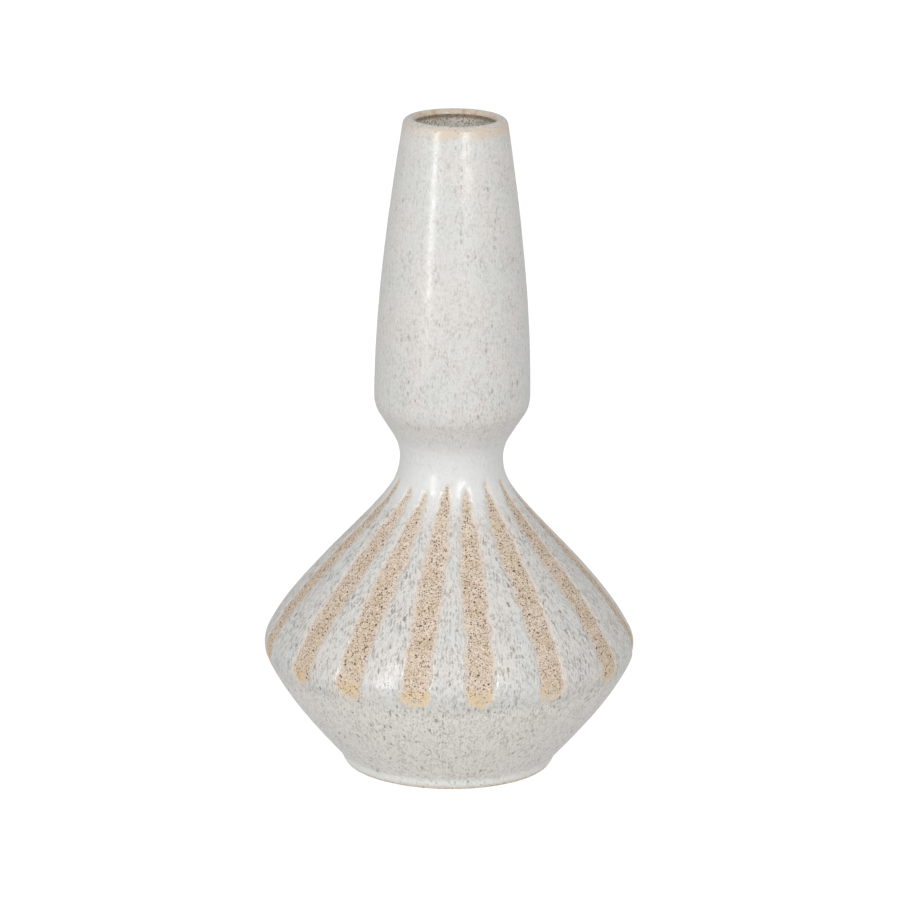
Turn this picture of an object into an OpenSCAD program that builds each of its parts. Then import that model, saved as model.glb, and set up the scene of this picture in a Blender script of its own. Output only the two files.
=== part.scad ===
// Stoneware vase with a double-cone body, a pinched waist and a tall tapering neck.
// It stands on z = 0 with its axis on Z. Lengths are in millimetres and angles in degrees.
// A lean is the angle of an outline from vertical, positive where it opens outwards going up.

/* [Overall] */
// Height from the ground to the crest of the lip
height = 300; // [290:1:320]
// Radius of the belly's edge, the widest place
belly_r = 84.5; // [80:0.1:90]
// Radius of the waist, the narrowest place
waist_r = 23.4; // [22:0.1:26]
// Largest radius of the neck, just above the waist
neck_r = 35.3; // [33:0.1:38]
// Radius of the crest of the lip
lip_r = 20.4; // [20:0.1:22]

/* [Heights] */
// Height of the belly's edge
belly_z = 55.5; // [50:0.5:60]
// Height of the waist
waist_z = 143.5; // [138:0.5:150]

/* [Foot] */
// Radius of the glazed foot at its lower edge
foot_r = 48; // [45:0.1:50]
// Height of the foot, where the lower cone starts
foot_h = 4.6; // [3.5:0.1:5]
// Height of the bare clay line under the glaze
bare_h = 0.8; // [0.6:0.1:1.2]
// Width of the flat that the vase stands on
foot_flat = 5.6; // [4:0.1:7]
// Lean of the foot's outer wall
foot_lean = 20; // [12:1:28]

/* [Belly and shoulder] */
// Radius of the rounded belly edge, seen from the side
belly_round = 13; // [10:0.5:16]
// Lean of the lower cone at the foot
cone_lean = 42; // [38:1:45]
// Lean of the lower cone where the belly's edge starts
belly_lean_low = 26; // [20:1:28]
// Lean of the shoulder where the belly's edge ends
belly_lean_high = -27; // [-32:1:-22]
// How far the belly's lean carries up the shoulder
shoulder_pull_low = 0.33; // [0.3:0.01:0.4]
// How far the waist's lean carries down the shoulder
shoulder_pull_high = 0.24; // [0.2:0.01:0.35]

/* [Waist and neck] */
// Radius of the waist's hollow below its narrowest place
waist_round_low = 25; // [20:1:30]
// Radius of the waist's hollow above its narrowest place
waist_round_high = 20; // [16:1:24]
// Lean of the shoulder where it runs into the waist
waist_lean_low = -33; // [-36:1:-30]
// Lean of the flare that carries the waist out to the neck
waist_lean_high = 32.5; // [30:0.5:35]
// Radius of the neck's rounded lower corner
neck_round = 14; // [8:1:16]
// Lean of the neck where it meets the lip
neck_lean = -8.7; // [-11:0.1:-6]

/* [Lip] */
// Radius of the lip's rounding on the outside
lip_round_out = 3.3; // [3:0.1:3.6]
// Radius of the lip's rounding on the inside
lip_round_in = 2.3; // [2:0.1:2.6]

/* [Walls] */
// Thickness of the glaze
glaze = 0.5; // [0.4:0.05:0.7]
// Whole wall at the neck, with both coats of glaze
wall_top = 5.5; // [5:0.1:6]
// Whole wall at the foot, with both coats of glaze
wall_bottom = 7.5; // [7:0.1:8]
// Thickness of the clay floor
floor_t = 7; // [6:0.5:9]
// Half the thickness of the slip in the middle of a scored joint
score = 1.2; // [0.8:0.1:1.5]

/* [Bare stripes] */
// Azimuth of each stripe, counted from the front towards the right
stripe_angles = [-77, -51, -31, -9, 11, 35, 60.5, 88, 113, 136, 160, 184, 208, 232, 257];
// Height of the top of each stripe, under the waist
stripe_tops = [134, 133, 132, 136, 134, 136, 135, 133, 135, 132, 134, 136, 133, 135, 132];
// Half the width of a stripe at its narrow upper tip
stripe_tip = 0.5; // [0.4:0.1:3]
// Half the width of a stripe at its widest, by the belly's edge
stripe_wide = 5.9; // [4.5:0.1:6.5]
// Height of the stripes' rounded lower ends, under the belly's edge
stripe_low = 51.5; // [46:0.5:53]
// Sideways drift of a stripe from its lower end to its tip
stripe_slant = 4; // [0:0.5:8]

/* [Hidden] */
$fn = 96;
arc_steps = 5;
curve_steps = 14;
floor_round = 4;
tip_blunt = 4;
window_steps = 8;
window_start_r = 8;
usual_pull = 0.33;
lip_in_end = 176;

bare_clay = [0.80, 0.69, 0.56];
inner_clay = [0.72, 0.62, 0.52];
wet_slip = [0.62, 0.54, 0.46];
glaze_white = [0.86, 0.85, 0.82];
glaze_lip = [0.83, 0.75, 0.65];
glaze_inside = [0.66, 0.65, 0.60];

// ---- Points along an outline, as [radius, height] ----

function heading(lean) = [sin(lean), cos(lean)];
function on_circle(centre, radius, angle) = centre + radius * [cos(angle), sin(angle)];
function arc(centre, radius, from, to, steps) =
    [for (i = [0:steps]) on_circle(centre, radius, from + (to - from) * i / steps)];
function slice(points, from, to) = [for (i = [from:to]) points[i]];
function reverse(points) = [for (i = [len(points) - 1:-1:0]) points[i]];
function unit(v) = v / norm(v);

// A smooth curve between two points with a given lean at each, without the points themselves.
// The pulls are how far each lean carries, as fractions of the distance between the points.
function curve(a, lean_a, b, lean_b, steps, pull_a = usual_pull, pull_b = usual_pull) =
    let (reach = norm(b - a), c = a + pull_a * reach * heading(lean_a), d = b - pull_b * reach * heading(lean_b))
    [for (i = [1:steps - 1]) let (t = i / steps, s = 1 - t)
        s * s * s * a + 3 * s * s * t * c + 3 * s * t * t * d + t * t * t * b];

// A point of a line moved to its left by some distance, square to the line there
function beside(points, i, distance) =
    let (before = points[max(i - 1, 0)], after = points[min(i + 1, len(points) - 1)],
        along = unit(after - before))
    points[i] + distance * [-along.y, along.x];
function inset(points, distance) = [for (i = [0:len(points) - 1]) beside(points, i, distance)];

// ---- The visible surface, from the foot up the outside and down the inside ----

foot_low = [foot_r, bare_h];
foot_top = foot_low + (foot_h - bare_h) * [tan(foot_lean), 1];

belly_centre = [belly_r - belly_round, belly_z];
belly_low = arc(belly_centre, belly_round, -belly_lean_low, 0, arc_steps);
belly_high = arc(belly_centre, belly_round, 0, -belly_lean_high, arc_steps);

waist_low = arc([waist_r + waist_round_low, waist_z], waist_round_low, 180 - waist_lean_low, 180, arc_steps);
waist_high = arc([waist_r + waist_round_high, waist_z], waist_round_high, 180, 180 - waist_lean_high, arc_steps);
flare_start = waist_high[arc_steps];

corner_r = neck_r - neck_round * (1 - cos(waist_lean_high));
corner_z = flare_start.y + (corner_r - flare_start.x) / tan(waist_lean_high);
corner_centre = [neck_r - neck_round, corner_z + neck_round * sin(waist_lean_high)];
corner = arc(corner_centre, neck_round, -waist_lean_high, 0, arc_steps);

lip_out = arc([lip_r, height - lip_round_out], lip_round_out, -neck_lean, 90, arc_steps);
lip_in = arc([lip_r, height - lip_round_in], lip_round_in, 90, lip_in_end, arc_steps);

outside = concat(
    [foot_low, foot_top],
    curve(foot_top, cone_lean, belly_low[0], belly_lean_low, curve_steps),
    belly_low,
    slice(belly_high, 1, arc_steps),
    curve(belly_high[arc_steps], belly_lean_high, waist_low[0], waist_lean_low, curve_steps,
        shoulder_pull_low, shoulder_pull_high),
    waist_low,
    slice(waist_high, 1, arc_steps),
    corner,
    curve(corner[arc_steps], 0, lip_out[0], neck_lean, curve_steps));

// Where each stretch of the outside ends, as a place in the list
foot_i = 1;
belly_i = curve_steps + arc_steps + 1;
waist_i = belly_i + curve_steps + 2 * arc_steps;
lip_i = len(outside);

floor_z = foot_h + floor_t;
function wall_at(z) = wall_bottom + (wall_top - wall_bottom) * min(1, z / waist_z);
inner_wall = [for (i = [0:len(outside) - 1]) beside(outside, i, wall_at(outside[i].y))];
cavity = [for (p = inner_wall) if (p.y > floor_z + floor_round) p];
floor_edge = [cavity[0].x - floor_round, floor_z];
inside = concat(reverse(cavity), [floor_edge, [0, floor_z]]);

skin = concat(outside, lip_out, slice(lip_in, 1, arc_steps), inside);
clay = inset(skin, glaze);

throat_i = lip_i + 2 * arc_steps;
end_i = len(skin) - 1;
cavity_waist_i = throat_i + len(outside) - waist_i;
cavity_belly_i = throat_i + len(outside) - belly_i;

// ---- Joints between the clay sections, each with a shallow scored groove on both sides ----

foot_joint_out = clay[foot_i];
foot_flat_out = [clay[0].x - bare_h, 0];
foot_flat_in = [foot_flat_out.x - foot_flat, 0];
foot_joint_in = [foot_flat_in.x - bare_h, foot_joint_out.y];

function middle(a, b, rise) = (a + b) / 2 + [0, rise];
function joint_ring(a, b) = [a, middle(a, b, score), b, middle(a, b, -score)];

// ---- Helpers for the parts ----

module turned(points) {
    rotate_extrude() polygon(points);
}

// A stretch of glaze between two places on the visible surface
module coat(from, to) {
    turned(concat(slice(skin, from, to), reverse(slice(clay, from, to))));
}

// Half the width of a stripe at a fraction of its height, from its lower end to its tip
function half_width(t) = stripe_wide - (stripe_wide - stripe_tip) * pow(t, tip_blunt);

// The outline of a stripe as seen from straight in front, with a round end below and above.
// Its points are closer together towards the tip, where it narrows fast.
function stripe_side(side, top) =
    let (low = stripe_low + stripe_wide, high = top - stripe_tip)
    [for (i = [0:window_steps]) let (t = 1 - pow(1 - i / window_steps, 2))
        [stripe_slant * (t - 0.5) + side * half_width(t), low + (high - low) * t]];
function stripe_outline(top) =
    let (right = stripe_side(1, top), left = stripe_side(-1, top), last = window_steps)
    concat(right,
        slice(arc((right[last] + left[last]) / 2, stripe_tip, 0, 180, arc_steps), 1, arc_steps - 1),
        reverse(left),
        slice(arc((right[0] + left[0]) / 2, stripe_wide, 180, 360, 2 * arc_steps), 1, 2 * arc_steps - 1));

module stripe_windows() {
    for (i = [0:len(stripe_angles) - 1])
        rotate([0, 0, stripe_angles[i]])
            translate([0, -window_start_r, 0])
                rotate([90, 0, 0])
                    linear_extrude(height = belly_r)
                        polygon(stripe_outline(stripe_tops[i]));
}

// ---- Clay ----

module foot_ring() {
    color(bare_clay)
        turned([foot_flat_in, foot_flat_out, clay[0], foot_joint_out,
            middle(foot_joint_out, foot_joint_in, -score), foot_joint_in]);
}

module base_section() {
    color(bare_clay)
        turned(concat([[0, foot_joint_in.y], foot_joint_in, middle(foot_joint_out, foot_joint_in, score)],
            slice(clay, foot_i, belly_i),
            [middle(clay[belly_i], clay[cavity_belly_i], -score)],
            slice(clay, cavity_belly_i, end_i)));
}

module shoulder_section() {
    color(bare_clay)
        turned(concat(slice(clay, belly_i, waist_i),
            [middle(clay[waist_i], clay[cavity_waist_i], -score)],
            slice(clay, cavity_waist_i, cavity_belly_i),
            [middle(clay[belly_i], clay[cavity_belly_i], score)]));
}

module neck_section() {
    color(inner_clay)
        turned(concat(slice(clay, waist_i, cavity_waist_i),
            [middle(clay[waist_i], clay[cavity_waist_i], score)]));
}

// ---- Slip in the joints ----

module foot_joint_slip() {
    color(wet_slip) turned(joint_ring(foot_joint_out, foot_joint_in));
}

module belly_joint_slip() {
    color(wet_slip) turned(joint_ring(clay[belly_i], clay[cavity_belly_i]));
}

module waist_joint_slip() {
    color(wet_slip) turned(joint_ring(clay[waist_i], clay[cavity_waist_i]));
}

// ---- Glaze ----

module base_glaze() {
    color(glaze_white)
        difference() {
            coat(0, belly_i);
            stripe_windows();
        }
}

module shoulder_glaze() {
    color(glaze_white)
        difference() {
            coat(belly_i, waist_i);
            stripe_windows();
        }
}

module neck_glaze() {
    color(glaze_white) coat(waist_i, lip_i);
}

module lip_glaze() {
    color(glaze_lip) coat(lip_i, throat_i);
}

module liner_glaze() {
    color(glaze_inside) coat(throat_i, end_i);
}

foot_ring();
base_section();
shoulder_section();
neck_section();
foot_joint_slip();
belly_joint_slip();
waist_joint_slip();
base_glaze();
shoulder_glaze();
neck_glaze();
lip_glaze();
liner_glaze();
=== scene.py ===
"""The looks of a stoneware vase: speckled satin glaze over sandy clay, with bare clay stripes.

The vase's clay and glaze are turned shapes. Their outline is the CAD part's own, drawn finer, and every
height and width that a CAD node's box gives is read from the frame. The glaze is a real layer: it
thins to a rounded edge round each bare stripe and along the foot, and the clay lies below it.
"""
import math

import bpy
import numpy as np
from mathutils import Matrix, Vector


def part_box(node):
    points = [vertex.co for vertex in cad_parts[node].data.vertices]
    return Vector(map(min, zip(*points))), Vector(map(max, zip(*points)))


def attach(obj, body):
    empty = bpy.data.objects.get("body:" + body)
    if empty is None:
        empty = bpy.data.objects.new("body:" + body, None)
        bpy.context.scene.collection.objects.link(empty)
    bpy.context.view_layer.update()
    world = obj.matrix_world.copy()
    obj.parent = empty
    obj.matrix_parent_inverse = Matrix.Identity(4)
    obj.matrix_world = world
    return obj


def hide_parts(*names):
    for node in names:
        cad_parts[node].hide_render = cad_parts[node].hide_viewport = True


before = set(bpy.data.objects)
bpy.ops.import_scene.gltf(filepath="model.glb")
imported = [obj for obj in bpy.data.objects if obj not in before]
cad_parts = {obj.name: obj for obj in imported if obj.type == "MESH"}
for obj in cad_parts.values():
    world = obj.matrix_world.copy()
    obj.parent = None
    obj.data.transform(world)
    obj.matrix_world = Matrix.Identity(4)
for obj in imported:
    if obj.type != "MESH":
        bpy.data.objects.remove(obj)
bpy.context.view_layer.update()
MM = 0.001

# ---------------------------------------------------------------- Camera

# Fitted to the photo: where it stands, how far it looks down and its slight roll
CAMERA_AT = (-0.0007, -2.318, 0.773)
CAMERA_DOWN = math.radians(15.13)
CAMERA_ROLL = math.radians(0.68)
SENSOR = 36.0
LENS = 211.7
FAR_CLIP = 50

camera = bpy.data.objects.new("camera", bpy.data.cameras.new("camera"))
bpy.context.scene.collection.objects.link(camera)
camera.data.sensor_width = SENSOR
camera.data.lens = LENS
camera.data.clip_end = FAR_CLIP
camera.location = CAMERA_AT
aim = Matrix.Rotation(math.pi / 2 - CAMERA_DOWN, 3, "X") @ Matrix.Rotation(CAMERA_ROLL, 3, "Z")
camera.rotation_euler = aim.to_euler()
bpy.context.scene.camera = camera

# ---------------------------------------------------------------- Outline of the vase

# What the boxes of the CAD nodes give
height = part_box("lip_glaze")[1].z
neck_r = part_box("neck_glaze")[1].x
glaze_t = neck_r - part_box("neck_section")[1].x
belly_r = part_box("shoulder_section")[1].x + glaze_t
belly_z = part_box("shoulder_glaze")[0].z
waist_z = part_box("neck_glaze")[0].z
foot_joint_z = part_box("foot_ring")[1].z
floor_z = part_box("liner_glaze")[0].z + glaze_t
bare_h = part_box("base_glaze")[0].z

# What they don't give: the rest of the part's driving dimensions, in metres and degrees.
# A lean is the angle of the outline from vertical, positive where it opens outwards going up.
foot_r = 48 * MM
foot_h = 4.6 * MM
foot_lean = 20
foot_flat = 5.6 * MM
waist_r = 23.4 * MM
lip_r = 20.4 * MM
belly_round = 13 * MM
waist_round_low = 25 * MM
waist_round_high = 20 * MM
neck_round = 14 * MM
lip_round_out = 3.3 * MM
lip_round_in = 2.3 * MM
cone_lean = 42
belly_lean_low = 26
belly_lean_high = -27
waist_lean_low = -33
waist_lean_high = 32.5
neck_lean = -8.7
lip_in_end = 176
shoulder_pulls = (0.33, 0.24)
wall_top = 5.5 * MM
wall_bottom = 7.5 * MM
floor_corner = 4 * MM

# How finely the outline is drawn, how far its corners are blurred and over how many such distances that
# reaches, and how far it tucks in under the foot
FINE_STEP = 0.25 * MM
CORNER_BLUR = 0.45 * MM
BLUR_REACH = 4
FOOT_TUCK = 0.5 * MM
# How many of the cavity's first points lie within the lip's own rounding
LIP_OVERLAP = 3
# Points closer than the first are one point, and radii under the second are on the axis
SAME_POINT = 1e-7
NEAR_AXIS = 1e-5
# Keeps a normal of no length from being divided by nothing
TINY = 1e-12


def heading(lean):
    """Which way an outline runs at that lean, as (radius, height)."""
    return np.array([math.sin(math.radians(lean)), math.cos(math.radians(lean))])


def arc(centre, radius, start, end, count=24):
    """Points of an arc, from one angle in degrees to another."""
    angles = np.radians(np.linspace(start, end, count))
    return np.array(centre) + radius * np.column_stack([np.cos(angles), np.sin(angles)])


def curve(a, lean_a, b, lean_b, pulls=(0.33, 0.33), count=60):
    """A smooth curve from a to b that leaves and arrives at those leans."""
    reach = np.linalg.norm(b - a)
    c = a + pulls[0] * reach * heading(lean_a)
    d = b - pulls[1] * reach * heading(lean_b)
    t = np.linspace(0, 1, count)[:, None]
    s = 1 - t
    return s**3 * a + 3 * s * s * t * c + 3 * s * t * t * d + t**3 * b


def lengths(line):
    """The distance along a line at each of its points."""
    return np.concatenate([[0], np.cumsum(np.linalg.norm(np.diff(line, axis=0), axis=1))])


def at_lengths(line, wanted):
    """The points at those distances along a line."""
    along = lengths(line)
    return np.column_stack([np.interp(wanted, along, line[:, k]) for k in (0, 1)])


def outward(line):
    """Unit normals of a line, pointing to the right of the way it runs."""
    run = np.gradient(line, axis=0)
    run /= np.linalg.norm(run, axis=1)[:, None]
    return np.column_stack([run[:, 1], -run[:, 0]])


def softened(line, blur, step):
    """The line with its corners rounded off, as a coat of glaze rounds them."""
    reach = int(BLUR_REACH * blur / step)
    kernel = np.exp(-0.5 * (np.arange(-reach, reach + 1) * step / blur) ** 2)
    kernel /= kernel.sum()
    before = 2 * line[0] - line[reach:0:-1]
    after = 2 * line[-1] - line[-2:-reach - 2:-1]
    padded = np.vstack([before, line, after])
    return np.column_stack([np.convolve(padded[:, k], kernel, "valid") for k in (0, 1)])


# The corner points and curves, from the foot up
foot_low = np.array([foot_r, bare_h])
foot_top = foot_low + (foot_h - bare_h) * np.array([math.tan(math.radians(foot_lean)), 1])
foot_under = foot_low - FOOT_TUCK * heading(foot_lean)
belly_arc = arc((belly_r - belly_round, belly_z), belly_round, -belly_lean_low, -belly_lean_high)
waist_low = arc((waist_r + waist_round_low, waist_z), waist_round_low, 180 - waist_lean_low, 180)
waist_high = arc((waist_r + waist_round_high, waist_z), waist_round_high, 180, 180 - waist_lean_high)
flare = heading(waist_lean_high)
corner_r = neck_r - neck_round * (1 - flare[1])
corner_z = waist_high[-1][1] + (corner_r - waist_high[-1][0]) * flare[1] / flare[0]
corner = arc((neck_r - neck_round, corner_z + neck_round * flare[0]), neck_round, -waist_lean_high, 0)
lip_out = arc((lip_r, height - lip_round_out), lip_round_out, -neck_lean, 90)
lip_in = arc((lip_r, height - lip_round_in), lip_round_in, 90, lip_in_end)
outside = np.vstack([
    [foot_under, foot_low, foot_top],
    curve(foot_top, cone_lean, belly_arc[0], belly_lean_low)[1:-1],
    belly_arc,
    curve(belly_arc[-1], belly_lean_high, waist_low[0], waist_lean_low, shoulder_pulls)[1:-1],
    waist_low,
    waist_high[1:],
    corner,
    curve(corner[-1], 0, lip_out[0], neck_lean)[1:-1]])

wall = wall_bottom + (wall_top - wall_bottom) * np.minimum(1, outside[:, 1] / waist_z)
cavity = (outside - wall[:, None] * outward(outside))[::-1]
cavity = cavity[cavity[:, 1] > floor_z + floor_corner]
floor_edge = arc((cavity[-1][0] - 2 * floor_corner, floor_z + floor_corner), floor_corner, -45, -90, count=8)
axis_floor = np.array([[NEAR_AXIS, floor_z]])
cavity = cavity[LIP_OVERLAP:]
inside = np.vstack([lip_in, cavity, floor_edge, axis_floor])

rough_line = np.vstack([outside, lip_out, inside[1:]])
moved_on = np.diff(lengths(rough_line)) > SAME_POINT
rough_line = rough_line[np.insert(moved_on, 0, True)]
rough_line = at_lengths(rough_line, np.arange(0, lengths(rough_line)[-1], FINE_STEP))
fine_line = softened(rough_line, CORNER_BLUR, FINE_STEP)
fine_s = lengths(fine_line)


def s_where(radius, z):
    """How far along the outline the point nearest to (radius, z) is."""
    return fine_s[np.argmin(np.hypot(fine_line[:, 0] - radius, fine_line[:, 1] - z))]


s_foot = s_where(*foot_low)
s_belly = s_where(belly_r, belly_z)
s_waist = s_where(waist_r, waist_z)
s_lip = s_where(*lip_out[0])
s_throat = s_where(*lip_in[-1])
s_end = fine_s[-1]

# ---------------------------------------------------------------- The glazed surface as a grid

COLUMNS = 960
FEWEST_ROWS = 3
# How far apart the rows are in each coat
SPACING = {"base": 1.1 * MM, "shoulder": 1.05 * MM, "neck": 1.3 * MM, "lip": 0.3 * MM, "liner": 4 * MM}


def rows_between(start, end, spacing):
    """Places along the outline from start to end, both included, about spacing apart."""
    return np.linspace(start, end, max(FEWEST_ROWS, round((end - start) / spacing) + 1))


stretches = {
    "base": rows_between(0, s_belly, SPACING["base"]),
    "shoulder": rows_between(s_belly, s_waist, SPACING["shoulder"]),
    "neck": rows_between(s_waist, s_lip, SPACING["neck"]),
    "lip": rows_between(s_lip, s_throat, SPACING["lip"]),
    "liner": rows_between(s_throat, s_end, SPACING["liner"])}
row_s = np.unique(np.concatenate(list(stretches.values())))
row_of = {name: np.searchsorted(row_s, [s[0], s[-1]]) for name, s in stretches.items()}
row_point = at_lengths(fine_line, row_s)
fine_out = outward(fine_line)
row_out = np.column_stack([np.interp(row_s, fine_s, fine_out[:, k]) for k in (0, 1)])
theta = np.linspace(0, 2 * math.pi, COLUMNS, endpoint=False)
# Angle 0 is the front, where the camera is, and it grows towards the right
round_x = np.sin(theta)
round_y = -np.cos(theta)


def turned(points):
    """(row, column, xyz) positions of a line turned about the vase's axis."""
    x = points[:, 0, None] * round_x
    y = points[:, 0, None] * round_y
    z = np.broadcast_to(points[:, 1, None], x.shape)
    return np.stack([x, y, z], axis=-1)


class Waves:
    """Smooth seeded noise in space: a sum of waves in random directions, about -1 to 1."""

    # The sum's usual peaks, in standard deviations
    PEAK = 1.4

    def __init__(self, seed, shortest, longest, count=40, stretch=1.0):
        rng = np.random.default_rng(seed)
        way = rng.normal(size=(count, 3))
        way /= np.linalg.norm(way, axis=1)[:, None]
        size = np.exp(rng.uniform(math.log(shortest), math.log(longest), count))
        self.wave = way * (2 * math.pi / size)[:, None] * np.array([1, 1, 1 / stretch])
        self.phase = rng.uniform(0, 2 * math.pi, count)
        self.scale = math.sqrt(2 / count) / self.PEAK

    def __call__(self, at):
        total = np.zeros(at.shape[:-1])
        for wave, phase in zip(self.wave, self.phase):
            total += np.sin(at @ wave + phase)
        return total * self.scale


skin = turned(row_point)
skin_out = turned(row_out)

# Bare stripes, as in the CAD part: azimuths in degrees, and the rest in metres
STRIPE_ANGLES = (-77, -51, -31, -9, 11, 35, 60.5, 88, 113, 136, 160, 184, 208, 232, 257)
STRIPE_TOPS = (134, 133, 132, 136, 134, 136, 135, 133, 135, 132, 134, 136, 133, 135, 132)
stripe_tip = 0.5 * MM
stripe_wide = 5.9 * MM
stripe_low = 51.5 * MM + stripe_wide
stripe_slant = 4 * MM
tip_blunt = 4
edge_wobble = Waves(seed=3, shortest=5 * MM, longest=16 * MM)
edge_fray = Waves(seed=4, shortest=1.6 * MM, longest=4 * MM)
# How far those move the edge of a stripe, and the edge along the foot
WOBBLE = 0.5 * MM
FRAY = 0.22 * MM
FOOT_WOBBLE = 0.25 * MM
# Far from every edge
FAR = 1.0


def stripe_distance(at):
    """How far each point is outside the nearest stripe's edge, negative within the stripe."""
    radius = np.hypot(at[..., 0], at[..., 1])
    angle = np.arctan2(at[..., 0], -at[..., 1])
    best = np.full(radius.shape, FAR)
    for degrees, top in zip(STRIPE_ANGLES, STRIPE_TOPS):
        turn = np.angle(np.exp(1j * (angle - math.radians(degrees))))
        tip = top * MM - stripe_tip
        t = np.clip((at[..., 2] - stripe_low) / (tip - stripe_low), 0, 1)
        half = stripe_wide - (stripe_wide - stripe_tip) * t ** tip_blunt
        across = radius * np.sin(turn) - stripe_slant * (t - 0.5)
        over = at[..., 2] - (stripe_low + t * (tip - stripe_low))
        distance = np.where(np.abs(turn) < math.pi / 2, np.hypot(across, over) - half, FAR)
        best = np.minimum(best, distance)
    return best + WOBBLE * edge_wobble(at) + FRAY * edge_fray(at)


# How far each point is from the glaze's edge, round the stripes and along the foot, negative on bare clay
foot_line = (row_s - s_foot)[:, None] + FOOT_WOBBLE * edge_wobble(skin)
margin = np.minimum(stripe_distance(skin), np.where(skin[..., 2] < foot_h, foot_line, FAR))

# Thickness of the glaze: a rounded edge, then the full coat, with slow unevenness from throwing and firing.
# Past its edge the sheet dips below the clay, so that it ends out of sight.
EDGE_W = 2.4 * MM
DIP_SLOPE = 0.6
DIP = 0.22 * MM
THROWING = 0.03 * MM
FIRING = 0.006 * MM
EVEN_NEAR_AXIS = 20 * MM
edge = np.clip(margin / EDGE_W, 0, 1)
coat = np.where(margin > 0, glaze_t * (1 - (1 - edge) ** 2), np.maximum(DIP_SLOPE * margin, -DIP))
throwing = Waves(seed=11, shortest=9 * MM, longest=26 * MM, stretch=0.5)
firing = Waves(seed=12, shortest=5 * MM, longest=11 * MM)
uneven = THROWING * throwing(skin) + FIRING * firing(skin)
quiet = np.clip((row_s[-1] - row_s) / EVEN_NEAR_AXIS, 0, 1)[:, None]
glazed = skin + skin_out * (coat - glaze_t + uneven * edge * quiet)[..., None]


def grid_normals(grid):
    """Outward normals of the turned grid, so that coats which meet are shaded as one surface."""
    around = np.roll(grid, -1, axis=1) - np.roll(grid, 1, axis=1)
    up = np.gradient(grid, axis=0)
    n = np.cross(around, up)
    return n / np.maximum(np.linalg.norm(n, axis=-1, keepdims=True), TINY)


glazed_normals = grid_normals(glazed)

# ---------------------------------------------------------------- Meshes


def make_object(name, verts, faces, material, normals, margins):
    """A smooth mesh object. A point's normal may be zero, which leaves it to Blender. Margins are in mm."""
    mesh = bpy.data.meshes.new(name)
    mesh.from_pydata(verts.tolist(), [], faces)
    layer = mesh.attributes.new("margin", "FLOAT", "POINT")
    layer.data.foreach_set("value", margins.astype(np.float32))
    mesh.polygons.foreach_set("use_smooth", np.ones(len(mesh.polygons), bool))
    mesh.update()
    mesh.normals_split_custom_set_from_vertices(normals.tolist())
    mesh.materials.append(material)
    made = bpy.data.objects.new(name, mesh)
    bpy.context.scene.collection.objects.link(made)
    return made


def grid_faces(rows, columns):
    """Quads of a grid whose last column joins its first."""
    low = np.arange(rows - 1)[:, None] * columns
    high = low + columns
    here = np.arange(columns)[None, :]
    beside = (here + 1) % columns
    return np.stack([low + here, low + beside, high + beside, high + here], axis=-1).reshape(-1, 4)


def coat_sheet(name, stretch, stride, material, trim=None):
    """One stretch of the glazed surface. Where trim is given, the sheet ends where it falls below zero."""
    first, last = row_of[stretch]
    grid = glazed[first:last + 1, ::stride]
    faces = grid_faces(grid.shape[0], grid.shape[1])
    verts = grid.reshape(-1, 3)
    normals = glazed_normals[first:last + 1, ::stride].reshape(-1, 3)
    margins = margin[first:last + 1, ::stride].ravel() / MM
    if trim is not None:
        inside_trim = trim[first:last + 1, ::stride].ravel() > 0
        faces = faces[inside_trim[faces].any(axis=1)]
        used = np.unique(faces)
        renumber = np.full(len(verts), -1)
        renumber[used] = np.arange(len(used))
        faces = renumber[faces]
        verts = verts[used]
        normals = normals[used]
        margins = margins[used]
    return make_object(name, verts, faces.tolist(), material, normals, margins)


def resampled(line, spacing):
    """The line as points about spacing apart."""
    along = lengths(line)[-1]
    return at_lengths(line, np.linspace(0, along, max(2, round(along / spacing) + 1)))


# ---------------------------------------------------------------- Materials
#
# Inside the materials, sizes and heights are in millimetres, and shares and strengths go from 0 to 1.

# How far the way the glaze ran bends from straight uphill, and over what distance
RUN_BEND = 1.6
RUN_BEND_SIZE = 5.0


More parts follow.
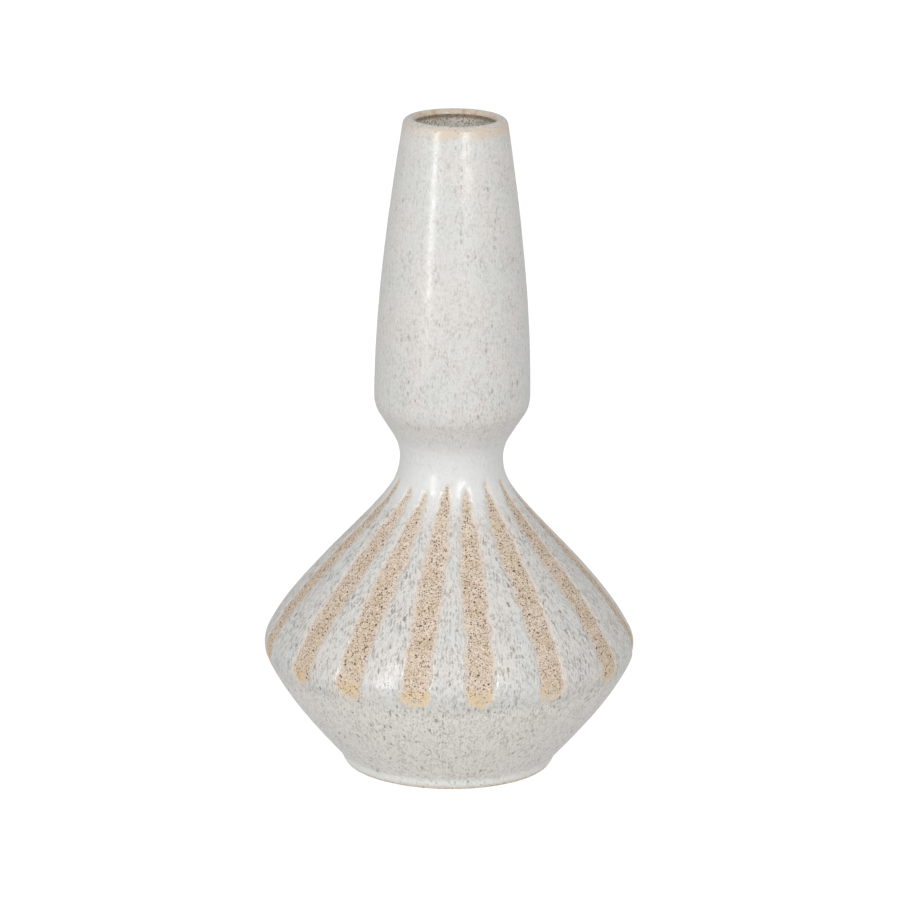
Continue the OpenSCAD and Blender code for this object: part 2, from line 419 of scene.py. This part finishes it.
class Shader:
    """A material with a Principled surface, and short ways to add nodes to it."""

    # A grain's random number decides on its spot. Up to the share of grains that have one, spots shrink to
    # this part of their radius, and from this part of the share on they fade out.
    LEAST_SPOT = 0.5
    FULL_SHARE = 0.6

    def __init__(self, name):
        self.material = bpy.data.materials.new(name)
        self.material.use_nodes = True
        self.tree = self.material.node_tree
        self.surface = self.tree.nodes["Principled BSDF"]
        geometry = self.tree.nodes.new("ShaderNodeNewGeometry")
        place = self.tree.nodes.new("ShaderNodeTexCoord")
        normal = geometry.outputs["Normal"]
        self.at = self.vector("SCALE", place.outputs["Object"], scale=1 / MM)
        self.z = self.add("ShaderNodeSeparateXYZ", Vector=self.at).outputs["Z"]
        slope = self.add("ShaderNodeSeparateXYZ", Vector=normal).outputs["Z"]
        tilted = self.vector("SCALE", normal, scale=slope)
        uphill = self.vector("NORMALIZE", self.vector("SUBTRACT", (0, 0, 1), tilted))
        drift = self.add("ShaderNodeTexNoise", Vector=self.at, Scale=1 / RUN_BEND_SIZE, Detail=1.0)
        bend = self.vector("SUBTRACT", drift.outputs["Color"], (0.5, 0.5, 0.5))
        self.run_way = self.vector("ADD", uphill, self.vector("SCALE", bend, scale=RUN_BEND))

    def put(self, socket, value):
        """Links the socket to another one, or sets its value."""
        if isinstance(value, bpy.types.NodeSocket):
            self.tree.links.new(value, socket)
        elif isinstance(value, (tuple, list)) and len(value) == 3 and socket.type == "RGBA":
            socket.default_value = (*value, 1)
        else:
            socket.default_value = value

    def add(self, kind, **inputs):
        """A new node with some of its inputs set or linked by name."""
        made = self.tree.nodes.new(kind)
        for key, value in inputs.items():
            self.put(made.inputs[key.replace("_", " ")], value)
        return made

    def math(self, operation, a, b):
        """A sum, a product or another operation on two numbers."""
        made = self.tree.nodes.new("ShaderNodeMath")
        made.operation = operation
        self.put(made.inputs[0], a)
        self.put(made.inputs[1], b)
        return made.outputs[0]

    def times(self, value, *factors):
        """The product of them all."""
        for factor in factors:
            value = self.math("MULTIPLY", value, factor)
        return value

    def vector(self, operation, a, b=None, scale=None):
        """An operation on one or two vectors."""
        made = self.tree.nodes.new("ShaderNodeVectorMath")
        made.operation = operation
        self.put(made.inputs[0], a)
        if b is not None:
            self.put(made.inputs[1], b)
        if scale is not None:
            self.put(made.inputs["Scale"], scale)
        return made.outputs["Value"] if operation == "LENGTH" else made.outputs["Vector"]

    def cover(self, colour, over, *shares, by=1.0):
        """The colour, covered by another one as far as the product of the shares and by says."""
        made = self.tree.nodes.new("ShaderNodeMix")
        made.data_type = "RGBA"
        under, upper = [socket for socket in made.inputs if socket.type == "RGBA"]
        self.put(made.inputs[0], self.times(*shares) if by == 1.0 else self.times(*shares, by))
        self.put(under, colour)
        self.put(upper, over)
        return next(socket for socket in made.outputs if socket.type == "RGBA")

    def between(self, value, low, high, out_low=0.0, out_high=1.0):
        """Smoothly from out_low to out_high as the value goes from low to high."""
        made = self.tree.nodes.new("ShaderNodeMapRange")
        made.interpolation_type = "SMOOTHSTEP"
        for i, v in enumerate((value, low, high, out_low, out_high)):
            self.put(made.inputs[i], v)
        return made.outputs[0]

    def band(self, starts, full, fading, ends):
        """1 in a band of heights and 0 away from it, with a smooth start and end."""
        return self.times(self.between(self.z, starts, full), self.between(self.z, ends, fading))

    def moved(self, distance):
        """The place, moved along the way the glaze ran, roughly straight uphill."""
        return self.vector("ADD", self.at, self.vector("SCALE", self.run_way, scale=distance))

    def noise(self, size, detail=2.0, at=None, rough=0.5):
        """Smooth noise with features of about that size, around 0.5."""
        made = self.add("ShaderNodeTexNoise", Vector=at or self.at, Scale=1 / size)
        self.put(made.inputs["Detail"], detail)
        self.put(made.inputs["Roughness"], rough)
        return made.outputs["Fac"]

    def ragged(self, value, size, detail, swing):
        """The value moved up and down by noise, so that what it bounds has a ragged edge."""
        centred = self.math("SUBTRACT", self.noise(size, detail), 0.5)
        return self.math("ADD", value, self.times(centred, swing))

    def grains(self, size, at=None):
        """(distance to the nearest grain's middle in grain sizes, a random number for that grain)"""
        made = self.add("ShaderNodeTexVoronoi", Vector=at or self.at, Scale=1 / size)
        spread = self.add("ShaderNodeSeparateColor", Color=made.outputs["Color"])
        return made.outputs["Distance"], spread.outputs["Red"]

    def spots(self, size, radius, share, soft, streak=(0.0,)):
        """Round spots in some of the grains, or short streaks uphill where several steps are given."""
        found = None
        for step in streak:
            distance, pick = self.grains(size, self.moved(step) if step else None)
            reach = self.times(radius, self.between(pick, 0, share, 1, self.LEAST_SPOT))
            spot = self.between(distance, self.math("SUBTRACT", reach, soft), reach, 1, 0)
            spot = self.times(spot, self.between(pick, share * self.FULL_SHARE, share, 1, 0))
            found = spot if found is None else self.math("MAXIMUM", found, spot)
        return found

    def streaked_noise(self, size, steps, detail=1.0):
        """Noise drawn out uphill: the mean of the noise at several steps."""
        total = None
        for step in steps:
            value = self.noise(size, detail, self.moved(step))
            total = value if total is None else self.math("ADD", total, value)
        return self.math("DIVIDE", total, float(len(steps)))

    def margin(self):
        """How far the glaze's edge is, positive on the glaze and negative on bare clay."""
        made = self.tree.nodes.new("ShaderNodeAttribute")
        made.attribute_name = "margin"
        return made.outputs["Fac"]

    def bump(self, height, strength, distance, below=None):
        """A normal bent by the height, on top of the bump below it."""
        made = self.add("ShaderNodeBump", Height=height, Strength=strength, Distance=distance)
        if below is not None:
            self.put(made.inputs["Normal"], below)
        return made.outputs["Normal"]


def srgb(r, g, b):
    """A colour as shown on a screen, 0 to 255, in linear light."""
    return tuple((v / 255 / 12.92) if v <= 10 else ((v / 255 + 0.055) / 1.055) ** 2.4 for v in (r, g, b))


GLAZE_WARM = srgb(213, 210, 206)
GLAZE_COOL = srgb(209, 210, 207)
GLAZE_THICK = srgb(218, 219, 218)
# Paler glaze at the foot, with the floor's bounce light on the foot's wall painted into it
FOOT_GLAZE_AND_BOUNCE = srgb(232, 232, 226)
# Painted light: the downward-facing lower cone is given a lighter glaze, standing in for light it gets
# little of
CONE_PAINTED_LIGHT = srgb(232, 228, 221)
GLAZE_STREAK = srgb(192, 188, 180)
GLAZE_GRAIN = srgb(172, 168, 160)
GLAZE_THIN = srgb(210, 191, 170)
GLAZE_POOL = srgb(220, 190, 142)
FLECK = srgb(126, 114, 103)
FLECK_GREY = srgb(130, 123, 117)
FLECK_BROWN = srgb(108, 92, 78)
CLAY = srgb(215, 200, 184)
CLAY_WARM = srgb(208, 190, 168)
CLAY_DARK = srgb(168, 146, 124)
CLAY_LIGHT = srgb(226, 214, 200)
CLAY_DUST = srgb(126, 102, 80)
FINE_SPECK = srgb(98, 76, 58)
SPECK = srgb(76, 58, 45)
LINER = srgb(243, 240, 232)
LINER_BROWN = srgb(206, 198, 184)
LINER_DUST = srgb(112, 100, 80)
LINER_SPECK = srgb(84, 70, 54)
# Browner glaze with painted shade, in the band just under the rim inside
THROAT_SHADE_BROWN = srgb(112, 86, 64)
LIP_TAN = srgb(207, 189, 169)
RUST = srgb(166, 118, 76)

# The middle of noise's range, and most of the range
MIDDLE = (0.4, 0.6)
MOST = (0.35, 0.65)

# Heights between which a look comes in or changes, from nothing at the first to all of it at the second
# Where the painted light on the lower cone comes in
CONE_PAINTED_LIGHT_Z = (52, 44)
# The foot's band of paler glaze and painted bounce light
FOOT_BOUNCE_Z = (6.8, 5.0)
DRIPS_Z = (284, 289)
TAN_Z = (292.5, 297.0)
TAN_TOP_Z = (299.9, 298.8)
LINER_BROWN_Z = (288.5, 296)
UPPER_CLAY_Z = (58, 80)
FILM_Z = (53, 60)
# Bands of heights: where the look starts, is full, begins to fade and ends
THICK_BAND = (118, 132, 148, 166)
POOL_BAND = (46, 49, 52, 57)
CLAY_POOL_BAND = (46, 48, 53, 61)
# The band under the rim inside, where browner glaze and painted shade go
THROAT_SHADE_BAND = (295.6, 296.8, 297.6, 298.6)
# The inner side of the lip, by its distance from the axis
LIP_INNER_R = (20.7, 18.7)

# Pairs of height and how many flecks there are, and how far the flecks have run
NECK_FLECKS = ((146, 0.2), (172, 0.5), (215, 0.4), (300, 0.38))
NECK_RUN = 1.4
SHOULDER_FLECKS = ((48, 0.7), (62, 1.0), (112, 1.0), (134, 0.12))
SHOULDER_RUN = 1.9
BASE_FLECKS = ((0, 0.35), (8, 0.65), (42, 0.8), (60, 0.9))
BASE_RUN = 1.5
LIP_FLECKS = ((290, 0.4), (301, 0.5))
LIP_RUN = 0.5
# A rusty drip is drawn in this many steps up and down from its middle
DRIP_STEP = 0.45
DRIP_STEPS = 4

# The glaze's gloss, and its orange-peel and dimples: strength and depth in metres
GLAZE_IOR = 1.5
GLAZE_COAT = 0.25
GLAZE_COAT_ROUGHNESS = 0.12
GLAZE_ROUGHNESS = (0.23, 0.33)
LINER_ROUGHNESS = (0.3, 0.42)
PEEL_BUMP = (0.06, 0.3 * MM)
DIMPLE_BUMP = (0.15, 0.05 * MM)
# The same for the clay's sand and its pits
CLAY_SPECULAR = 0.3
CLAY_ROUGHNESS = (0.92, 0.72)
SAND_BUMP = (0.5, 0.18 * MM)
PIT_BUMP = (0.6, 0.25 * MM)


def add_flecks(s, colour, amount, run):
    """Iron flecks that bleed through the glaze and have run along it, by about run millimetres."""
    steps = tuple(run * k for k in (-0.5, -0.25, 0.0, 0.25, 0.5))
    tone = s.cover(FLECK_GREY, FLECK, s.between(s.noise(size=3, detail=1), *MIDDLE))
    blots = s.between(s.streaked_noise(size=1.7, steps=steps, detail=2.0), 0.51, 0.62)
    pepper = s.between(s.streaked_noise(size=0.75, steps=steps, detail=2.0), 0.51, 0.58)
    broken = s.between(s.noise(size=0.6), 0.35, 0.6, 0.35, 1.0)
    small = s.spots(size=1.3, radius=0.46, share=0.7, soft=0.2, streak=steps[1:4])
    large = s.spots(size=2.9, radius=0.28, share=0.5, soft=0.14, streak=steps[:4])
    colour = s.cover(colour, tone, blots, amount, by=0.3)
    colour = s.cover(colour, FLECK, pepper, amount, by=0.42)
    colour = s.cover(colour, tone, small, broken, amount, by=0.62)
    return s.cover(colour, FLECK_BROWN, large, broken, s.between(amount, 0.0, 0.8, 0, 0.8))


def fleck_amount(s, flecks_at):
    """How many flecks there are at each height, smoothly from one given height to the next."""
    amount = flecks_at[0][1]
    for (low, at_low), (high, at_high) in zip(flecks_at, flecks_at[1:]):
        amount = s.math("ADD", amount, s.between(s.z, low, high, 0, at_high - at_low))
    return amount


def glaze_material(name, flecks_at, run):
    """Satin white glaze, as the material and its colour so far."""
    s = Shader(name)
    clouds = s.between(s.noise(size=22, detail=3), *MIDDLE)
    streaks = s.between(s.streaked_noise(size=1.3, steps=(-5, -3, -1, 1, 3, 5)), 0.5, 0.6)
    grain = s.between(s.streaked_noise(size=0.5, steps=(-0.3, 0.3), detail=2.0), 0.5, 0.64)
    # The lighter band at the foot is paler glaze and also painted light: the floor's bounce on the foot's
    # wall
    foot = s.between(s.ragged(s.z, size=4, detail=2, swing=1.2), *FOOT_BOUNCE_Z)
    colour = s.cover(GLAZE_COOL, GLAZE_WARM, clouds)
    # Painted light: the lower cone's glaze made lighter, for the light it misses facing downward
    colour = s.cover(colour, CONE_PAINTED_LIGHT, s.between(s.z, *CONE_PAINTED_LIGHT_Z), by=0.85)
    colour = s.cover(colour, GLAZE_STREAK, streaks, by=0.45)
    colour = s.cover(colour, GLAZE_GRAIN, grain, by=0.4)
    colour = s.cover(colour, GLAZE_THICK, s.band(*THICK_BAND), by=0.8)
    colour = s.cover(colour, FOOT_GLAZE_AND_BOUNCE, foot, by=0.85)
    patchy = s.between(s.noise(size=9), 0.3, 0.7, 0.55, 1.25)
    return s, add_flecks(s, colour, s.times(fleck_amount(s, flecks_at), patchy), run)


def thin_edges(s, colour):
    """Tan clay showing through where the glaze thins out beside a stripe, and amber where it has pooled."""
    thin = s.between(s.ragged(s.margin(), size=0.8, detail=3, swing=3.0), -0.2, 1.3, 0.7, 0)
    near = s.between(s.ragged(s.margin(), size=2.2, detail=3, swing=5.0), -1.0, 4.0, 1, 0)
    patches = s.between(s.noise(size=4, detail=3), *MIDDLE, 0.1, 1.0)
    colour = s.cover(colour, GLAZE_THIN, thin)
    return s.cover(colour, GLAZE_POOL, near, s.band(*POOL_BAND), patches, by=0.85)


def finish_glaze(s, colour, roughness=GLAZE_ROUGHNESS):
    """Gives a glaze its colour, its satin gloss and the slight unevenness of a fired coat."""
    peel = s.bump(s.noise(size=2.4), *PEEL_BUMP)
    dimples = s.bump(s.noise(size=0.8), *DIMPLE_BUMP, peel)
    s.put(s.surface.inputs["Base Color"], colour)
    s.put(s.surface.inputs["Roughness"], s.between(s.noise(size=6, detail=3), *MOST, *roughness))
    s.put(s.surface.inputs["IOR"], GLAZE_IOR)
    s.put(s.surface.inputs["Coat Weight"], GLAZE_COAT)
    s.put(s.surface.inputs["Coat Roughness"], GLAZE_COAT_ROUGHNESS)
    s.put(s.surface.inputs["Normal"], dimples)
    return s.material


def lip_band(s, colour):
    """The tan band just under the lip, where the glaze is thin, with a wavy lower edge."""
    wavy = s.ragged(s.ragged(s.z, size=7, detail=3, swing=7), size=1.2, detail=2, swing=2)
    patchy = s.between(s.noise(size=16), 0.38, 0.62, 0.3, 0.8)
    return s.cover(colour, LIP_TAN, s.between(wavy, *TAN_Z), s.between(s.z, *TAN_TOP_Z), patchy)


def neck_glaze_material():
    """The glaze of the neck, with the tan band and a few rusty drips under the lip."""
    s, colour = glaze_material("glaze_neck", NECK_FLECKS, NECK_RUN)
    colour = lip_band(s, colour)
    long_run = tuple(DRIP_STEP * k for k in range(-DRIP_STEPS, DRIP_STEPS + 1))
    drips = s.spots(size=5.0, radius=0.09, share=0.35, soft=0.05, streak=long_run)
    return finish_glaze(s, s.cover(colour, RUST, drips, s.between(s.z, *DRIPS_Z), by=0.55))


def body_glaze_material(name, flecks_at, run):
    """The glaze round the bare stripes."""
    s, colour = glaze_material(name, flecks_at, run)
    return finish_glaze(s, thin_edges(s, colour))


def lip_glaze_material():
    """The thin glaze over the lip, tan and rusty on its inner side."""
    s, colour = glaze_material("glaze_lip", LIP_FLECKS, LIP_RUN)
    colour = lip_band(s, colour)
    radius = s.vector("LENGTH", s.vector("MULTIPLY", s.at, (1, 1, 0)))
    inner = s.between(radius, *LIP_INNER_R)
    worn = s.between(s.noise(size=3.5, detail=3), 0.45, 0.7, 0, 0.3)
    rusty = s.between(s.noise(size=4, detail=3), 0.5, 0.62)
    colour = s.cover(colour, LIP_TAN, s.math("MAXIMUM", worn, s.times(inner, 0.75)))
    colour = s.cover(colour, RUST, inner, rusty, by=0.4)
    colour = s.cover(colour, FLECK_BROWN, s.spots(size=1.1, radius=0.4, share=0.6, soft=0.15), by=0.5)
    return finish_glaze(s, colour)


def liner_material():
    """The glaze inside: white lower down, browner under the lip, a dark band just under the rim that is
    browner glaze with painted shade beneath the rim, and dust and dark specks.
    """
    s = Shader("glaze_liner")
    brown = s.between(s.noise(size=5, detail=3), 0.3, 0.6, 0.5, 1.0)
    dust = s.spots(size=0.8, radius=0.6, share=0.9, soft=0.25)
    specks = s.spots(size=1.0, radius=0.5, share=0.85, soft=0.16)
    colour = s.cover(LINER, LINER_BROWN, s.between(s.z, *LINER_BROWN_Z), brown)
    # Painted shade beneath the rim, over browner glaze there
    colour = s.cover(colour, THROAT_SHADE_BROWN, s.band(*THROAT_SHADE_BAND), by=0.7)
    colour = s.cover(colour, LINER_DUST, dust, by=0.5)
    colour = s.cover(colour, LINER_SPECK, specks, by=0.75)
    return finish_glaze(s, colour, LINER_ROUGHNESS)


def clay_colour(s, fine, specks):
    """Sandy tan with pale and dark grains and iron specks, pooled glaze low down and frost at the edges."""
    grain_pick = s.grains(size=0.7)[1]
    upper = s.between(s.z, *UPPER_CLAY_Z)
    low_end = s.band(*CLAY_POOL_BAND)
    dust = s.spots(size=0.62, radius=0.6, share=0.85, soft=0.25)
    patches = s.between(s.noise(size=3.2, detail=3), *MIDDLE, 0.1, 0.85)
    frost = s.ragged(s.margin(), size=0.7, detail=2, swing=3.0)
    film_low = s.between(s.z, *FILM_Z, 0.4, 0.7)
    film_high = s.between(s.z, *FILM_Z, 0.6, 0.9)
    film = s.between(s.noise(size=1.0, detail=3), film_low, film_high)
    colour = s.cover(CLAY, CLAY_WARM, s.between(s.noise(size=11, detail=3), *MOST))
    colour = s.cover(colour, CLAY_DARK, s.between(grain_pick, 0.65, 0.0, 0, 0.5))
    colour = s.cover(colour, CLAY_LIGHT, s.between(grain_pick, 0.65, 1.0, 0, 0.5))
    colour = s.cover(colour, CLAY_DUST, dust, s.between(upper, 0, 1, 0.5, 0.7))
    colour = s.cover(colour, GLAZE_POOL, low_end, patches)
    colour = s.cover(colour, FINE_SPECK, fine, s.between(upper, 0, 1, 0.72, 0.85))
    colour = s.cover(colour, SPECK, specks, by=0.9)
    colour = s.cover(colour, GLAZE_WARM, s.between(frost, -1.5, 0.4, 0, s.between(low_end, 0, 1, 0.6, 0.15)))
    return s.cover(colour, GLAZE_WARM, film, low_end, by=0.4)


def clay_material(name):
    """Bare stoneware, rough and sandy, with a pit at each iron speck."""
    s = Shader(name)
    fine = s.spots(size=1.05, radius=0.44, share=0.85, soft=0.14)
    specks = s.spots(size=2.2, radius=0.27, share=0.6, soft=0.08)
    sand = s.noise(size=0.5, detail=3, rough=0.7)
    pits = s.math("SUBTRACT", 1.0, s.math("MAXIMUM", fine, specks))
    s.put(s.surface.inputs["Base Color"], clay_colour(s, fine, specks))
    s.put(s.surface.inputs["Roughness"], s.between(sand, 0.3, 0.7, *CLAY_ROUGHNESS))
    s.put(s.surface.inputs["Specular IOR Level"], CLAY_SPECULAR)
    s.put(s.surface.inputs["Normal"], s.bump(pits, *PIT_BUMP, s.bump(sand, *SAND_BUMP)))
    return s.material


bare_clay = clay_material("bare_clay")
slip = clay_material("joint_slip")
shoulder_glaze = body_glaze_material("glaze_shoulder", SHOULDER_FLECKS, SHOULDER_RUN)
base_glaze = body_glaze_material("glaze_base", BASE_FLECKS, BASE_RUN)
neck_glaze = neck_glaze_material()
lip_glaze = lip_glaze_material()
liner_glaze = liner_material()

# ---------------------------------------------------------------- Pieces

# A trimmed coat runs on this far past its visible edge, below the clay's surface
HEM = 0.35 * MM
hem = margin + HEM
# Each coat's name, its stretch of the grid and how many columns apart its points are, where it is trimmed,
# its material, the node it replaces and its slot
coats = (
    ("base_glaze_coat", "base", 1, hem, base_glaze, "base_glaze", "white_glaze"),
    ("shoulder_glaze_coat", "shoulder", 1, hem, shoulder_glaze, "shoulder_glaze", "white_glaze"),
    ("neck_glaze_coat", "neck", 2, None, neck_glaze, "neck_glaze", "white_glaze"),
    ("lip_glaze_coat", "lip", 3, None, lip_glaze, "lip_glaze", "lip_glaze"),
    ("liner_glaze_coat", "liner", 3, None, liner_glaze, "liner_glaze", "liner_glaze"))
for name, stretch, stride, trim, material, node, slot in coats:
    sheet = coat_sheet(name, stretch, stride, material, trim)
    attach(sheet, "root")
    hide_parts(node)

clay_line = fine_line - glaze_t * fine_out
row_clay = at_lengths(clay_line, np.interp(row_s, fine_s, lengths(clay_line)))
# The clay uses every second column of the grid. Its grit stands this high, and the margin of its hidden
# sides, in millimetres, is far from any glaze.
CLAY_STRIDE = 2
GRIT = 0.03 * MM
FAR_INSIDE = -9.0
clay_columns = COLUMNS // CLAY_STRIDE
grit = Waves(seed=21, shortest=1.1 * MM, longest=2.6 * MM, count=60)
clay_skin = turned(row_clay)[:, ::CLAY_STRIDE]
clay_skin = clay_skin + skin_out[:, ::CLAY_STRIDE] * (GRIT * grit(clay_skin))[..., None]
clay_normals = grid_normals(clay_skin)
clay_margin = margin[:, ::CLAY_STRIDE] / MM


def ring(radius, z):
    """One ring of a turned piece, or a single point where it meets the axis."""
    if radius < NEAR_AXIS:
        return np.array([[0, 0, z]])
    angles = theta[::CLAY_STRIDE]
    return np.column_stack([radius * np.sin(angles), -radius * np.cos(angles), np.full(len(angles), z)])


def clay_piece(name, first, last, rest, node):
    """A closed piece of clay: rows first to last of the clay's outer side, then the rest of its outline."""
    added = [ring(*point) for point in rest]
    rings = list(clay_skin[first:last + 1]) + added
    normals = list(clay_normals[first:last + 1]) + [np.zeros((len(r), 3)) for r in added]
    margins = list(clay_margin[first:last + 1]) + [np.full(len(r), FAR_INSIDE) for r in added]
    starts = np.concatenate([[0], np.cumsum([len(r) for r in rings])])
    faces = []
    for k, (this, following) in enumerate(zip(rings, rings[1:] + rings[:1])):
        a0 = starts[k]
        b0 = starts[(k + 1) % len(rings)]
        if len(this) == 1 and len(following) == 1:
            continue
        for i in range(clay_columns):
            j = (i + 1) % clay_columns
            near = [a0 + i % len(this), a0 + j % len(this)]
            far = [b0 + j % len(following), b0 + i % len(following)]
            faces.append(list(dict.fromkeys(int(c) for c in near + far)))
    verts = np.vstack(rings)
    made = make_object(name, verts, faces, bare_clay, np.vstack(normals), np.concatenate(margins))
    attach(made, "root")
    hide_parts(node)


# How far the clay's inner side stays from the throat and from the axis, and how far apart the rings of the
# hidden sides are
THROAT_GAP = 5 * MM
AXIS_GAP = 2 * MM
INNER_SPACING = 8 * MM
UNDER_SPACING = 2 * MM
FOOT_SPACING = 0.7 * MM
RECESS_SPACING = 0.6 * MM
CORNER_POINTS = 7


def inner_clay(low, high):
    """The clay's inner side between two heights, going down."""
    side = clay_line[(fine_s > s_throat + THROAT_GAP) & (fine_s < s_end - AXIS_GAP)]
    side = side[(side[:, 1] > low) & (side[:, 1] < high)]
    return resampled(side, INNER_SPACING)


joint_row = int(np.argmin(np.abs(row_clay[:row_of["base"][1], 1] - foot_joint_z)))
foot_row = int(np.argmin(np.abs(row_s - s_foot)))
belly_row = row_of["base"][1]
waist_row = row_of["shoulder"][1]
joint_z = row_clay[joint_row, 1]

clay_piece("shoulder_clay", belly_row, waist_row, inner_clay(belly_z, waist_z), "shoulder_section")

# The foot ring's flat face, between two corners rounded as far as the bare line is high
flat_out = row_clay[foot_row][0] - bare_h
flat_in = flat_out - foot_flat
recess_r = flat_in - bare_h
under_recess = resampled(np.array([[0, joint_z], [recess_r, joint_z]]), UNDER_SPACING)
inside_base = np.vstack([inner_clay(floor_z, belly_z), [[0, floor_z - glaze_t]]])
clay_piece("base_clay", joint_row, belly_row, np.vstack([inside_base, under_recess]), "base_section")

ring_under = np.vstack([
    resampled(np.array([[recess_r, joint_z], [recess_r, bare_h]]), RECESS_SPACING),
    arc((flat_in, bare_h), bare_h, 180, 270, CORNER_POINTS)[1:],
    resampled(np.array([[flat_in, 0], [flat_out, 0]]), FOOT_SPACING)[1:-1],
    arc((flat_out, bare_h), bare_h, 270, 360, CORNER_POINTS)[:-1]])
clay_piece("foot_ring_clay", foot_row, joint_row, ring_under, "foot_ring")


def paint(node, material):
    """Gives a CAD node that stays a procedural material."""
    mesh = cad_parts[node].data
    mesh.materials.clear()
    mesh.materials.append(material)


paint("neck_section", bare_clay)
for node in ("foot_joint_slip", "belly_joint_slip", "waist_joint_slip"):
    paint(node, slip)

# ---------------------------------------------------------------- Floor, lights and surroundings


FLOOR = 12.0
FLOOR_GREY = (0.25, 0.25, 0.25, 1)
FLOOR_ROUGHNESS = 0.9
FLOOR_GLOW = 0.85
WHITE = (1, 1, 1, 1)

floor_material = bpy.data.materials.new("floor")
floor_material.use_nodes = True
floor_surface = floor_material.node_tree.nodes["Principled BSDF"].inputs
floor_surface["Base Color"].default_value = FLOOR_GREY
floor_surface["Roughness"].default_value = FLOOR_ROUGHNESS
floor_surface["Emission Color"].default_value = WHITE
floor_surface["Emission Strength"].default_value = FLOOR_GLOW
floor_mesh = bpy.data.meshes.new("floor")
corners = [(-FLOOR, -FLOOR, 0), (FLOOR, -FLOOR, 0), (FLOOR, FLOOR, 0), (-FLOOR, FLOOR, 0)]
floor_mesh.from_pydata(corners, [], [(0, 1, 2, 3)])
floor_mesh.materials.append(floor_material)
floor = bpy.data.objects.new("floor", floor_mesh)
bpy.context.scene.collection.objects.link(floor)
# The floor is seen, but its light on the vase comes from the surroundings, which are even and soft
floor.visible_diffuse = False
floor.visible_glossy = False
floor.visible_shadow = False

LIGHT_DISTANCE = 1.5
LIGHT_TARGET = Vector((0, 0, 0.15))


def softbox(name, azimuth, elevation, width, tall, power):
    """A light, in metres and watts, that faces the vase. Azimuth 0 is the camera's side, and it grows to the
    right."""
    light = bpy.data.lights.new(name, "AREA")
    light.shape = "RECTANGLE"
    light.size = width
    light.size_y = tall
    light.energy = power
    made = bpy.data.objects.new(name, light)
    bpy.context.scene.collection.objects.link(made)
    a = math.radians(azimuth)
    e = math.radians(elevation)
    way = Vector((math.sin(a) * math.cos(e), -math.cos(a) * math.cos(e), math.sin(e)))
    made.location = LIGHT_TARGET + way * LIGHT_DISTANCE
    made.rotation_euler = way.to_track_quat("Z", "Y").to_euler()


softbox("softbox_left", azimuth=-39, elevation=17.5, width=0.22, tall=1.1, power=5.9)
softbox("softbox_right", azimuth=22.5, elevation=24, width=0.4, tall=0.85, power=6.7)

# The room is brighter in front of the vase and to its left, and the camera sees it as plain white
ROOM_MEAN = 0.65
ROOM_SLOPE = (-0.02, -0.11, 0.0)
world = bpy.data.worlds.new("surroundings")
bpy.context.scene.world = world
world.use_nodes = True
tree = world.node_tree
background = tree.nodes["Background"]
seen = tree.nodes.new("ShaderNodeLightPath")
way = tree.nodes.new("ShaderNodeTexCoord")
slope = tree.nodes.new("ShaderNodeVectorMath")
slope.operation = "DOT_PRODUCT"
slope.inputs[1].default_value = ROOM_SLOPE
level = tree.nodes.new("ShaderNodeMath")
level.inputs[1].default_value = ROOM_MEAN
strength = tree.nodes.new("ShaderNodeMath")
strength.operation = "MAXIMUM"
tree.links.new(way.outputs["Generated"], slope.inputs[0])
tree.links.new(slope.outputs["Value"], level.inputs[0])
tree.links.new(level.outputs["Value"], strength.inputs[0])
tree.links.new(seen.outputs["Is Camera Ray"], strength.inputs[1])
tree.links.new(strength.outputs["Value"], background.inputs["Strength"])
background.inputs["Color"].default_value = WHITE
bpy.context.scene.view_settings.view_transform = "Standard"
